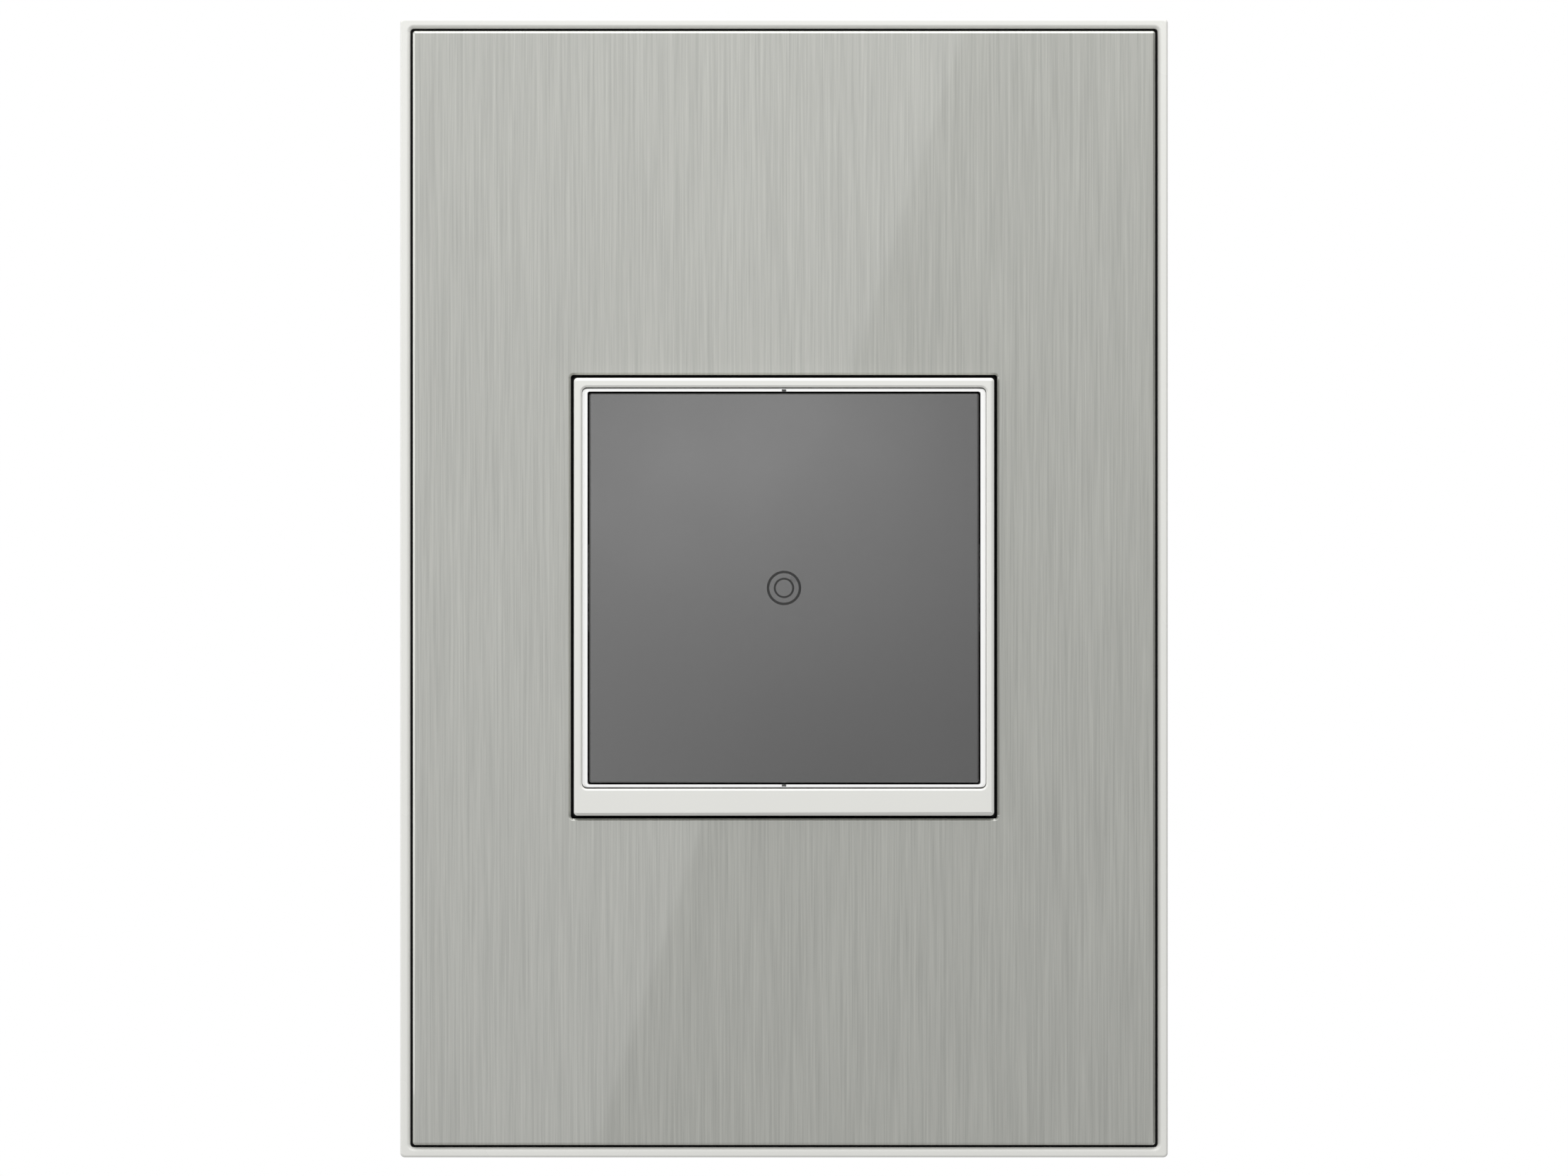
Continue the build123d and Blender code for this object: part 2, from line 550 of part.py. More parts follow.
BAYS = ((-1, 0.0), (1, TERMINAL_Z), (1, -TERMINAL_Z))
STRIP_Y = (REAR_INNER_Y - 1.0, REAR_INNER_Y)
STRIP_HALF = 2.5
STRIP_FREE = 0.1
STRIP_END = 3.4
STRIP_Z = {0.0: 0.0, TERMINAL_Z: CONTACT_Z, -TERMINAL_Z: -CONTACT_Z}
PLATE_X = (BAY_FLOOR, BAY_FLOOR + 1.0)
PLATE_HALF = 4.0
PLATE_Y = 14.0
TERMINAL_SCREW_R = 1.9


def cut_bay(side, z):
    """One terminal's bay: a walled pocket open to the side, with its slot, screw hole and wire hole."""
    floor_x = (side * (BAY_FLOOR - BAY_WALL), side * BAY_FLOOR)
    outer_x = side * HOUSING[0] / 2
    wall_z = (z - BAY_HALF - BAY_WALL, z + BAY_HALF + BAY_WALL)
    block((floor_x[0], outer_x), (BAY_Y[0] - BAY_WALL, BAY_Y[1]), wall_z)
    block((floor_x[1], outer_x), BAY_Y, (z - BAY_HALF, z + BAY_HALF), mode=Mode.SUBTRACT)
    slot_half = STRIP_HALF + STRIP_FREE
    slot_z = (STRIP_Z[z] - slot_half, STRIP_Z[z] + slot_half)
    block(floor_x, (STRIP_Y[0] - STRIP_FREE, STRIP_Y[1]), slot_z, mode=Mode.SUBTRACT)
    screw_start = (floor_x[0], TERMINAL_SCREW_Y, z)
    peg(screw_start, (side, 0, 0), TERMINAL_SCREW_R + 2 * STRIP_FREE, BAY_WALL, mode=Mode.SUBTRACT)
    wire_start = (side * WIRE_X, REAR_INNER_Y, z + WIRE_Z)
    peg(wire_start, (0, 1, 0), WIRE_HOLE_R, REAR_Y - REAR_INNER_Y, mode=Mode.SUBTRACT)


with BuildPart() as rear_housing:
    slab(REAR_Y, SPLIT_Y, HOUSING, HOUSING_CORNER)
    fillet(rear_housing.faces().sort_by(Axis.Y)[-1].edges(), HOUSING_BACK_ROUND)
    chamfer(front_edges(rear_housing), PARTING)
    slab(REAR_INNER_Y, SPLIT_Y, HOUSING_INSIDE, INNER_CORNER, mode=Mode.SUBTRACT)
    with BuildSketch(facing(REAR_INNER_Y)):
        with GridLocations(*POSTS, 2, 2):
            Rectangle(POST, POST)
    extrude(amount=REAR_INNER_Y - SPLIT_Y)
    block(LATCH_POST_X, (LATCH_POST_Y, REAR_INNER_Y), LATCH_POST_Z)
    for bay in BAYS:
        cut_bay(*bay)
    latch_start = (LATCH_X, LATCH_Y, LATCH_POST_Z[0])
    latch_depth = LATCH_POST_Z[1] - LATCH_POST_Z[0]
    peg(latch_start, (0, 0, 1), LATCH_R + RUNNING, latch_depth, mode=Mode.SUBTRACT)
    pegs(SPLIT_Y, POSTS, SCREW_R + SCREW_FREE, REAR_Y - SPLIT_Y, mode=Mode.SUBTRACT)
    pegs(REAR_Y - COUNTERBORE[1], POSTS, COUNTERBORE[0], COUNTERBORE[1], mode=Mode.SUBTRACT)
    with BuildSketch(facing(REAR_Y)):
        SlotOverall(GAUGE[0], GAUGE[1])
    extrude(amount=GAUGE[2], mode=Mode.SUBTRACT)
save(rear_housing.part, "rear_housing")

with BuildPart() as housing_screws:
    head_back = REAR_Y - COUNTERBORE[1] + SCREW_HEAD[1]
    pegs(head_back - SCREW_HEAD[1], POSTS, SCREW_HEAD[0], SCREW_HEAD[1])
    pegs(SCREW_TIP_Y, POSTS, SCREW_R, head_back - SCREW_HEAD[1] - SCREW_TIP_Y)
    cross_slots(head_back - CROSS_DEPTH, POSTS)
save(housing_screws.part, "housing_screws")

with BuildPart() as stop_pads:
    pad_front = YOKE_BACK + TRAVEL + STOP_GAP
    pegs(pad_front, STOP_PADS, STOP_PAD_R, DECK[0] - pad_front)
save(stop_pads.part, "stop_pads")

with BuildPart() as return_springs:
    pegs(YOKE_BACK, SPRINGS, SPRING_R[0], SPRING_BOTTOM - YOKE_BACK)
    pegs(YOKE_BACK, SPRINGS, SPRING_R[1], SPRING_BOTTOM - YOKE_BACK, mode=Mode.SUBTRACT)
save(return_springs.part, "return_springs")

# ================================================================ rocker, plunger, blade and latch
ROCKER_SIDE = tilted(AXLE_Y, ROCKER_REST)
HUB_R = 3.2
HUB_HALF = 6.6
AXLE_FREE = 0.05
AXLE_EDGE = 0.2
ARM_X = (4.0, 6.0)
ARM_HALF = 2.5
ARM_TOP = 10.2
FORK_HALF = PIN_R + 0.12
FORK_BOTTOM = DRIVE_ARM - 1.2
BARREL_HALF = 2.6
BARREL_END = 6.4
PLUNGER_R = 1.5
PLUNGER_FREE = 0.1
PLUNGER_BACK = 4.6
SPRING_SEAT = 2.4
PLUNGER_SPRING_R = (1.4, 0.9)
BLADE_SIDE = tilted(BLADE_Y, BLADE_REST)
BLADE_HALF_W = 2.0
BLADE_HALF_L = 11.0
BLADE_LUG = (3.4, 0.6)
MOVING_CONTACT = (1.6, 0.8)
FIXED_CONTACT_R = 1.9
FIXED_CONTACT_Y = 24.02
CRADLE_X = (2.4, 3.4)
CRADLE_Y = 22.55
CRADLE_HALF = 1.2

with BuildPart() as contact_rocker:
    into_wall = ROCKER_SIDE.x_dir
    with BuildSketch(ROCKER_SIDE):
        Circle(HUB_R)
    extrude(amount=HUB_HALF, both=True)
    with BuildSketch(ROCKER_SIDE):
        with Locations((BARREL_END / 2, 0)):
            Rectangle(BARREL_END, 2 * BARREL_HALF)
    extrude(amount=BARREL_HALF, both=True)
    for side in (-1, 1):
        with BuildSketch(ROCKER_SIDE.offset(side * ARM_X[0])):
            with Locations((0, ARM_TOP / 2)):
                Rectangle(2 * ARM_HALF, ARM_TOP)
            with Locations((0, (FORK_BOTTOM + ARM_TOP) / 2)):
                Rectangle(2 * FORK_HALF, ARM_TOP - FORK_BOTTOM, mode=Mode.SUBTRACT)
        extrude(amount=side * (ARM_X[1] - ARM_X[0]))
    with BuildSketch(ROCKER_SIDE):
        Circle(AXLE_R + AXLE_FREE)
    extrude(amount=HUB_HALF, both=True, mode=Mode.SUBTRACT)
    barrel_start = ROCKER_SIDE.origin + into_wall * SPRING_SEAT
    barrel_depth = BARREL_END - SPRING_SEAT
    peg(barrel_start, into_wall, PLUNGER_R + PLUNGER_FREE, barrel_depth, mode=Mode.SUBTRACT)
save(contact_rocker.part, "contact_rocker")

with BuildPart() as spring_plunger:
    with BuildSketch(ROCKER_SIDE):
        with BuildLine():
            shoulder = PLUNGER_TIP - PLUNGER_R
            Line((PLUNGER_BACK, 0), (PLUNGER_TIP, 0))
            RadiusArc((PLUNGER_TIP, 0), (shoulder, PLUNGER_R), -PLUNGER_R)
            Line((shoulder, PLUNGER_R), (PLUNGER_BACK, PLUNGER_R))
            Line((PLUNGER_BACK, PLUNGER_R), (PLUNGER_BACK, 0))
        make_face()
    revolve(axis=Axis(ROCKER_SIDE.origin, ROCKER_SIDE.x_dir))
save(spring_plunger.part, "spring_plunger")

with BuildPart() as plunger_spring:
    spring_length = PLUNGER_BACK - SPRING_SEAT
    peg(barrel_start, into_wall, PLUNGER_SPRING_R[0], spring_length)
    peg(barrel_start, into_wall, PLUNGER_SPRING_R[1], spring_length, mode=Mode.SUBTRACT)
save(plunger_spring.part, "plunger_spring")

with BuildPart() as rocker_axle:
    peg((-AXLE_HALF, AXLE_Y, 0), (1, 0, 0), AXLE_R, 2 * AXLE_HALF)
    chamfer(rocker_axle.edges().filter_by(GeomType.CIRCLE), AXLE_EDGE)
save(rocker_axle.part, "rocker_axle")

with BuildPart() as contact_blade:
    with BuildSketch(BLADE_SIDE):
        Rectangle(BLADE_THICK, 2 * BLADE_HALF_L)
    extrude(amount=BLADE_HALF_W, both=True)
    with BuildSketch(BLADE_SIDE):
        Rectangle(BLADE_THICK, 2 * BLADE_LUG[1])
    extrude(amount=BLADE_LUG[0], both=True)
save(contact_blade.part, "contact_blade")

with BuildPart() as moving_contacts:
    blade_back = BLADE_SIDE.x_dir
    for side in (-1, 1):
        along = BLADE_SIDE.y_dir * side * CONTACT_Z
        start = BLADE_SIDE.origin + along + blade_back * BLADE_THICK / 2
        peg(start, blade_back, *MOVING_CONTACT)
save(moving_contacts.part, "moving_contacts")

with BuildPart() as fixed_contacts:
    for side in (-1, 1):
        start = (0, FIXED_CONTACT_Y, side * CONTACT_Z)
        peg(start, (0, 1, 0), FIXED_CONTACT_R, STRIP_Y[0] - FIXED_CONTACT_Y)
save(fixed_contacts.part, "fixed_contacts")

with BuildPart() as latch_wire:
    bite_z = CAM_LEG_Z[1] - LATCH_BITE
    latch_top = LATCH_Z + LATCH_R
    peg((LATCH_X, LATCH_TIP_Y, LATCH_Z), (0, 1, 0), LATCH_R, LATCH_Y - LATCH_TIP_Y)
    peg((LATCH_X, LATCH_TIP_Y, bite_z), (0, 0, 1), LATCH_R, latch_top - bite_z)
    peg((LATCH_X, LATCH_Y, LATCH_FOOT), (0, 0, 1), LATCH_R, latch_top - LATCH_FOOT)
save(latch_wire.part, "latch_wire")

# ================================================================ terminals
CLAMP_X = (20.8, 21.7)
CLAMP_HALF = (4.4, 5.0)
BINDING_HEAD = (3.4, 1.7)
SHANK_END = 13.0


def terminal(side, z):
    """A flat terminal: a strip along the housing's back wall and an upright plate in its bay."""
    strip_z = (STRIP_Z[z] - STRIP_HALF, STRIP_Z[z] + STRIP_HALF)
    plate_x = (side * PLATE_X[0], side * PLATE_X[1])
    block((-side * STRIP_END, plate_x[1]), STRIP_Y, strip_z)
    block(plate_x, (PLATE_Y, REAR_INNER_Y), (z - PLATE_HALF, z + PLATE_HALF))
    hole_start = (plate_x[0], TERMINAL_SCREW_Y, z)
    hole_depth = PLATE_X[1] - PLATE_X[0]
    peg(hole_start, (side, 0, 0), TERMINAL_SCREW_R + FIT, hole_depth, mode=Mode.SUBTRACT)


def terminal_screw(side, z):
    """A binding screw: its head on the clamp, its shank through the plate into the bay's floor."""
    head_x = side * CLAMP_X[1]
    peg((head_x, TERMINAL_SCREW_Y, z), (side, 0, 0), *BINDING_HEAD)
    shank_start = (side * SHANK_END, TERMINAL_SCREW_Y, z)
    peg(shank_start, (side, 0, 0), TERMINAL_SCREW_R, CLAMP_X[1] - SHANK_END)
    slot_x = (head_x + side * (BINDING_HEAD[1] - CROSS_DEPTH), head_x + side * BINDING_HEAD[1])
    slot_y = (TERMINAL_SCREW_Y - SLOT_REACH, TERMINAL_SCREW_Y + SLOT_REACH)
    block(slot_x, slot_y, (z - SLOT_HALF, z + SLOT_HALF), mode=Mode.SUBTRACT)


with BuildPart() as common_terminal:
    terminal(*BAYS[0])
    for side in (-1, 1):
        cradle_x = [side * x for x in CRADLE_X]
        block(cradle_x, (CRADLE_Y, STRIP_Y[0]), (-CRADLE_HALF, CRADLE_HALF))
save(common_terminal.part, "common_terminal")

with BuildPart() as upper_terminal:
    terminal(*BAYS[1])
save(upper_terminal.part, "upper_terminal")

with BuildPart() as lower_terminal:
    terminal(*BAYS[2])
save(lower_terminal.part, "lower_terminal")

with BuildPart() as common_screw:
    terminal_screw(*BAYS[0])
save(common_screw.part, "common_screw")

with BuildPart() as traveller_screws:
    for bay in BAYS[1:]:
        terminal_screw(*bay)
save(traveller_screws.part, "traveller_screws")

with BuildPart() as wire_clamps:
    for side, z in BAYS:
        clamp_x = [side * x for x in CLAMP_X]
        clamp_y = (TERMINAL_SCREW_Y - CLAMP_HALF[0], TERMINAL_SCREW_Y + CLAMP_HALF[0])
        block(clamp_x, clamp_y, (z - CLAMP_HALF[1], z + CLAMP_HALF[1]))
        hole_start = (side * CLAMP_X[0], TERMINAL_SCREW_Y, z)
        hole_depth = CLAMP_X[1] - CLAMP_X[0]
        peg(hole_start, (side, 0, 0), TERMINAL_SCREW_R + 2 * FIT, hole_depth, mode=Mode.SUBTRACT)
save(wire_clamps.part, "wire_clamps")
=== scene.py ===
"""Looks for the wall switch: materials, coil springs, threaded screws, studio light and camera."""

import json
from math import cos, pi, radians, sin

import bmesh
import bpy
from mathutils import Matrix, Vector


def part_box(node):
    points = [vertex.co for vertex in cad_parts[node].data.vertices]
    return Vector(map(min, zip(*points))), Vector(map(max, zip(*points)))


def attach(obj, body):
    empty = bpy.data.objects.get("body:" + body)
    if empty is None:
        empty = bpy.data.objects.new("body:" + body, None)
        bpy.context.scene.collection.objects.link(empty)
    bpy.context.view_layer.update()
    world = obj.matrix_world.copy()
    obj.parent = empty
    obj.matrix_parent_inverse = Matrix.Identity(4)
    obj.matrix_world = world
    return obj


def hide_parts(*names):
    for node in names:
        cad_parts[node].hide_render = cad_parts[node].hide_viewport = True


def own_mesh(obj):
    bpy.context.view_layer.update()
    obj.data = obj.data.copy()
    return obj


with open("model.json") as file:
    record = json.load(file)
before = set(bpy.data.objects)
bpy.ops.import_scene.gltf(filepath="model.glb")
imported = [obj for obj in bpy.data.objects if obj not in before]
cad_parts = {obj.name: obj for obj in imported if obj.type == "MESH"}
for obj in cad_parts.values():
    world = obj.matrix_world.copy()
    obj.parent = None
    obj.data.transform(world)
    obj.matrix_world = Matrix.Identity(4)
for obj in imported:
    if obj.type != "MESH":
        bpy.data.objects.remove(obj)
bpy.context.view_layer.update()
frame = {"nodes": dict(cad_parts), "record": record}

MM = 0.001
PLATE_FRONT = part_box("plate_rim")[0].y
SLOT_OF = {row["node"]: row["material_slot"] for row in frame["record"]["subparts"]}
BODIES = frame["record"]["behaviour"]["bodies"]
BODY_OF = {node: body for body, nodes in BODIES.items() for node in nodes}


# ---------------------------------------------------------------- materials
def new_material(name, colour, roughness, metallic=0.0, **sockets):
    """A Principled material; returns it with its tree and shader."""
    made = bpy.data.materials.new(name)
    made.use_nodes = True
    tree = made.node_tree
    shader = tree.nodes["Principled BSDF"]
    shader.inputs["Base Color"].default_value = (*colour, 1.0)
    shader.inputs["Roughness"].default_value = roughness
    shader.inputs["Metallic"].default_value = metallic
    for socket, value in sockets.items():
        shader.inputs[socket.replace("_", " ")].default_value = value
    return made, tree, shader


def noise(tree, stretch, detail=3.0, roughness=0.5):
    """A noise pattern in the piece's own space, with so many features a metre along X, Y and Z."""
    place = tree.nodes.new("ShaderNodeTexCoord")
    mapping = tree.nodes.new("ShaderNodeMapping")
    mapping.inputs["Scale"].default_value = stretch
    pattern = tree.nodes.new("ShaderNodeTexNoise")
    pattern.inputs["Scale"].default_value = 1.0
    pattern.inputs["Detail"].default_value = detail
    pattern.inputs["Roughness"].default_value = roughness
    tree.links.new(place.outputs["Object"], mapping.inputs["Vector"])
    tree.links.new(mapping.outputs["Vector"], pattern.inputs["Vector"])
    return pattern.outputs["Fac"]


def ramp(tree, factor, low, high, start=0.3, stop=0.7):
    """The pattern's values from start to stop, spread from low to high."""
    spread = tree.nodes.new("ShaderNodeMapRange")
    spread.inputs["From Min"].default_value = start
    spread.inputs["From Max"].default_value = stop
    spread.inputs["To Min"].default_value = low
    spread.inputs["To Max"].default_value = high
    tree.links.new(factor, spread.inputs["Value"])
    return spread.outputs["Result"]


def tint(tree, shader, factor, dark, light, start=0.3, stop=0.7):
    """Base colour between dark and light, following the pattern."""
    blend = tree.nodes.new("ShaderNodeMix")
    blend.data_type = "RGBA"
    blend.inputs["A"].default_value = (*dark, 1.0)
    blend.inputs["B"].default_value = (*light, 1.0)
    tree.links.new(ramp(tree, factor, 0.0, 1.0, start, stop), blend.inputs["Factor"])
    tree.links.new(blend.outputs["Result"], shader.inputs["Base Color"])


def relief(tree, shader, factor, depth):
    """Bump of the given depth in metres, following the pattern."""
    bump = tree.nodes.new("ShaderNodeBump")
    bump.inputs["Distance"].default_value = depth
    tree.links.new(factor, bump.inputs["Height"])
    tree.links.new(bump.outputs["Normal"], shader.inputs["Normal"])


def shade(colour, factor):
    """The colour made darker or lighter."""
    return tuple(min(1.0, channel * factor) for channel in colour)


DRIFT = (60.0,) * 3
STAINS = (220.0,) * 3
MOULDED_GLOSS = (0.85, 1.2)
METAL_GLOSS = (0.8, 1.3)
METAL_RELIEF = 1e-6
METAL_SPREAD = 0.12


def moulded(name, colour, roughness, grain=9000.0, depth=2e-6, spread=0.03, **sockets):
    """Moulded plastic: a fine spark-eroded grain and a slow drift of tone."""
    made, tree, shader = new_material(name, colour, roughness, **sockets)
    slow = noise(tree, DRIFT, 2.0)
    fine = noise(tree, (grain,) * 3, 2.0)
    tint(tree, shader, slow, shade(colour, 1 - spread), shade(colour, 1 + spread))
    low, high = (roughness * factor for factor in MOULDED_GLOSS)
    tree.links.new(ramp(tree, slow, low, high), shader.inputs["Roughness"])
    relief(tree, shader, fine, depth)
    return made


def bare_metal(name, colour, roughness, stretch):
    """Drawn, rolled or turned metal: streaks that the stretch sets, in tone, gloss and relief."""
    made, tree, shader = new_material(name, colour, roughness, 1.0)
    streaks = noise(tree, stretch, 4.0)
    stains = noise(tree, STAINS, 3.0)
    tint(tree, shader, streaks, shade(colour, 1 - METAL_SPREAD), shade(colour, 1 + METAL_SPREAD))
    low, high = (roughness * factor for factor in METAL_GLOSS)
    tree.links.new(ramp(tree, stains, low, high), shader.inputs["Roughness"])
    relief(tree, shader, streaks, METAL_RELIEF)
    return made


STEEL = (0.516, 0.521, 0.484)
STEEL_SPREAD = 0.12
STEEL_GRAIN = (4600.0, 300.0, 60.0)
STEEL_CLOUDS = (900.0, 100.0, 14.0)
CLOUD_SHARE = 0.12
STEEL_RANGE = (0.35, 0.65)
STEEL_ROUGHNESS = (0.49, 0.55)
STEEL_RELIEF = 1e-6


def brushed_steel():
    """Stainless sheet brushed upright, under a thin clear lacquer: long fine grain and a soft sheen."""
    made, tree, shader = new_material("brushed_steel", STEEL, 0.52, 1.0, Anisotropic=0.5,
                                      Coat_Weight=1.0, Coat_Roughness=0.03, Coat_IOR=1.8)
    fine = noise(tree, STEEL_GRAIN, 3.0, 0.7)
    broad = noise(tree, STEEL_CLOUDS, 2.0)
    both = tree.nodes.new("ShaderNodeMath")
    both.operation = "MULTIPLY_ADD"
    both.inputs[1].default_value = CLOUD_SHARE
    tree.links.new(broad, both.inputs[0])
    tree.links.new(ramp(tree, fine, 0.0, 1 - CLOUD_SHARE, 0.0, 1.0), both.inputs[2])
    grain = both.outputs["Value"]
    dark, light = shade(STEEL, 1 - STEEL_SPREAD), shade(STEEL, 1 + STEEL_SPREAD)
    tint(tree, shader, grain, dark, light, *STEEL_RANGE)
    tree.links.new(ramp(tree, grain, *STEEL_ROUGHNESS, *STEEL_RANGE), shader.inputs["Roughness"])
    relief(tree, shader, grain, STEEL_RELIEF)
    across = tree.nodes.new("ShaderNodeCombineXYZ")
    across.inputs["X"].default_value = 1.0
    tree.links.new(across.outputs["Vector"], shader.inputs["Tangent"])
    return made


KEY_GREY = (0.162,) * 3
KEY_FLAKES = (7000.0,) * 3
KEY_CLOUDS = (45.0,) * 3
KEY_TONES = (0.97, 1.03)
KEY_ROUGHNESS = (0.19, 0.22)
KEY_RELIEF = 5e-7


def satin_key():
    """The key's satin grey lacquer: metallic flakes, a fine orange peel and a half-gloss."""
    made, tree, shader = new_material("key_grey", KEY_GREY, 0.24, 0.85, IOR=1.5)
    flakes = noise(tree, KEY_FLAKES, 2.0, 0.7)
    slow = noise(tree, KEY_CLOUDS, 2.0)
    tint(tree, shader, flakes, *(shade(KEY_GREY, tone) for tone in KEY_TONES))
    tree.links.new(ramp(tree, slow, *KEY_ROUGHNESS), shader.inputs["Roughness"])
    relief(tree, shader, flakes, KEY_RELIEF)
    return made


def make_materials():
    """One material for every slot of the record."""
    return {
        "white_plastic": moulded("white_plastic", (0.775, 0.775, 0.74), 0.25, 7000.0, 1e-6, 0.008),
        "bright_plastic": moulded("bright_plastic", (0.96, 0.96, 0.95), 0.2, 7000.0, 1e-6, 0.008),
        "steel": brushed_steel(),
        # painted shade: the near-black, barely glossy backer shows in the thin gaps around the steel
        # panel and the bezel, standing in for the shade in those gaps
        "black_plastic": moulded("black_plastic", (0.004, 0.004, 0.004), 0.8, Specular_IOR_Level=0.1),
        "tape": moulded("tape", (0.03, 0.03, 0.03), 0.9, 3000.0, 2e-5),
        "zinc_steel": bare_metal("zinc_steel", (0.62, 0.63, 0.62), 0.38, (300.0, 300.0, 2500.0)),
        "screw_steel": bare_metal("screw_steel", (0.66, 0.66, 0.63), 0.3, (2600.0,) * 3),
        "fibre": moulded("fibre", (0.42, 0.07, 0.04), 0.75, 2500.0, 1e-5, 0.15),
        "green_screw": bare_metal("green_screw", (0.05, 0.32, 0.11), 0.35, (2000.0,) * 3),
        "key_grey": satin_key(),
        "ink": moulded("ink", (0.02, 0.02, 0.02), 0.6),
        "yoke_plastic": moulded("yoke_plastic", (0.58, 0.57, 0.52), 0.5, 3000.0, 5e-6, 0.05),
        "housing_plastic": moulded("housing_plastic", (0.035, 0.036, 0.038), 0.48, 2500.0,
                                   1.2e-5, 0.12),
        "spring_steel": bare_metal("spring_steel", (0.5, 0.5, 0.5), 0.3, (900.0,) * 3),
        "rubber": moulded("rubber", (0.02, 0.02, 0.02), 0.85, 3500.0, 8e-6, 0.2),
        "rocker_plastic": moulded("rocker_plastic", (0.7, 0.64, 0.48), 0.45, 3000.0, 5e-6, 0.05),
        "brass": bare_metal("brass", (0.74, 0.52, 0.22), 0.3, (400.0, 2200.0, 400.0)),
        "black_screw": bare_metal("black_screw", (0.035, 0.035, 0.04), 0.35, (1800.0,) * 3),
        "silver": bare_metal("silver", (0.86, 0.86, 0.84), 0.28, (1500.0,) * 3),
    }


MATERIALS = make_materials()


def give(piece, slot_name):
    """The piece gets that slot's material, and nothing else."""
    piece.data.materials.clear()
    piece.data.materials.append(MATERIALS[slot_name])


for node_name, node in frame["nodes"].items():
    give(node, SLOT_OF[node_name])


# ---------------------------------------------------------------- new pieces
WELD = 1e-7
TURNED_SHARP = 40
WIRE_SHARP = 60
LEAF_SHARP = 30


def put(name, mesh, node):
    """Make a piece of the mesh; it rides, and takes its finish, as the node that it stands for does."""
    piece = bpy.data.objects.new(name, mesh)
    bpy.context.scene.collection.objects.link(piece)
    give(piece, SLOT_OF[node])
    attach(piece, BODY_OF[node])
    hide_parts(node)
    return piece


def smooth(mesh, below):
    """Shade the mesh smoothly, but for edges sharper than so many degrees."""
    mesh.shade_smooth()
    mesh.set_sharp_from_angle(angle=radians(below))
    return mesh


def as_mesh(name, shells, below=TURNED_SHARP):
    """One mesh of several shells, each a pair of points and faces."""
    points, faces = [], []
    for shell_points, shell_faces in shells:
        faces += [[index + len(points) for index in face] for face in shell_faces]
        points += [tuple(point) for point in shell_points]
    mesh = bpy.data.meshes.new(name)
    mesh.from_pydata(points, [], faces)
    shape = bmesh.new()
    shape.from_mesh(mesh)
    bmesh.ops.remove_doubles(shape, verts=shape.verts, dist=WELD)
    bmesh.ops.recalc_face_normals(shape, faces=shape.faces)
    shape.to_mesh(mesh)
    shape.free()
    return smooth(mesh, below)


def rings_to_shell(rings):
    """Points and faces of a closed shell through rings of equally many points, capped at both ends."""
    sides = len(rings[0])
    points = [point for ring in rings for point in ring]
    faces = [list(range(sides))[::-1], list(range(len(points) - sides, len(points)))]
    for row in range(len(rings) - 1):
        for side in range(sides):
            here = row * sides + side
            beside = row * sides + (side + 1) % sides
            faces.append([here, beside, beside + sides, here + sides])
    return points, faces


def wire(path, radius, sides=10):
    """A shell of round wire along the path."""
    path = [Vector(point) for point in path]
    last = len(path) - 1
    normal = (path[1] - path[0]).orthogonal()
    rings = []
    for index, centre in enumerate(path):
        ahead = (path[min(index + 1, last)] - path[max(index - 1, 0)]).normalized()
        normal = (normal - ahead * normal.dot(ahead)).normalized()
        other = ahead.cross(normal)
        angles = [2 * pi * side / sides for side in range(sides)]
        rings.append([centre + (normal * cos(a) + other * sin(a)) * radius for a in angles])
    return rings_to_shell(rings)


CLOSED_TURNS = 1
TURN_STEPS = 24


def helix(place, radius, length, turns, wire_radius):
    """Points of a compression coil along the place's own Z, its end turns lying closed."""
    total = int(turns * TURN_STEPS)
    closed = CLOSED_TURNS * TURN_STEPS
    pitch = open_pitch(length, turns, wire_radius)
    rise = []
    height = wire_radius
    for index in range(total + 1):
        rise.append(height)
        at_end = index < closed or index >= total - closed
        height += (2 * wire_radius if at_end else pitch) / TURN_STEPS
    angles = [2 * pi * index / TURN_STEPS for index in range(total + 1)]
    return [place @ Vector((radius * cos(a), radius * sin(a), z)) for a, z in zip(angles, rise)]


def open_pitch(length, turns, wire_radius):
    """The rise of one open turn, so that the whole coil has its length."""
    closed_rise = 2 * CLOSED_TURNS * 2 * wire_radius
    return (length - 2 * wire_radius - closed_rise) / (turns - 2 * CLOSED_TURNS)


def along(origin, direction):
    """A placement at origin whose own Z points along direction."""
    turn = Vector(direction).to_track_quat("Z", "X").to_matrix().to_4x4()
    return Matrix.Translation(Vector(origin)) @ turn


# ---------------------------------------------------------------- springs, leaf and wire
def middle(node):
    """The middle of the node's box."""
    low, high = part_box(node)
    return (low + high) / 2


def corners(node, radius):
    """The four places in X and Z, one radius in from the corners of the node's box."""
    low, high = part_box(node)
    heights = (low.z + radius, high.z - radius)
    return [(x, z) for x in (low.x + radius, high.x - radius) for z in heights]


COIL_R = 2.3 * MM
COIL_WIRE_R = 0.3 * MM
COIL_TURNS = 7.5


def add_return_springs():
    """The four coils under the yoke, one in from each corner of the node's box."""
    low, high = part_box("return_springs")
    length = high.y - low.y
    for number, (x, z) in enumerate(corners("return_springs", COIL_R + COIL_WIRE_R), 1):
        path = helix(along((x, low.y, z), (0, 1, 0)), COIL_R, length, COIL_TURNS, COIL_WIRE_R)
        name = f"return_spring_{number}"
        coil = put(name, as_mesh(name, [wire(path, COIL_WIRE_R)], WIRE_SHARP), "return_springs")
        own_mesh(coil)


PLUNGER_COIL_R = 1.2 * MM
PLUNGER_WIRE_R = 0.2 * MM
PLUNGER_COIL = 2.2 * MM
PLUNGER_TURNS = 4


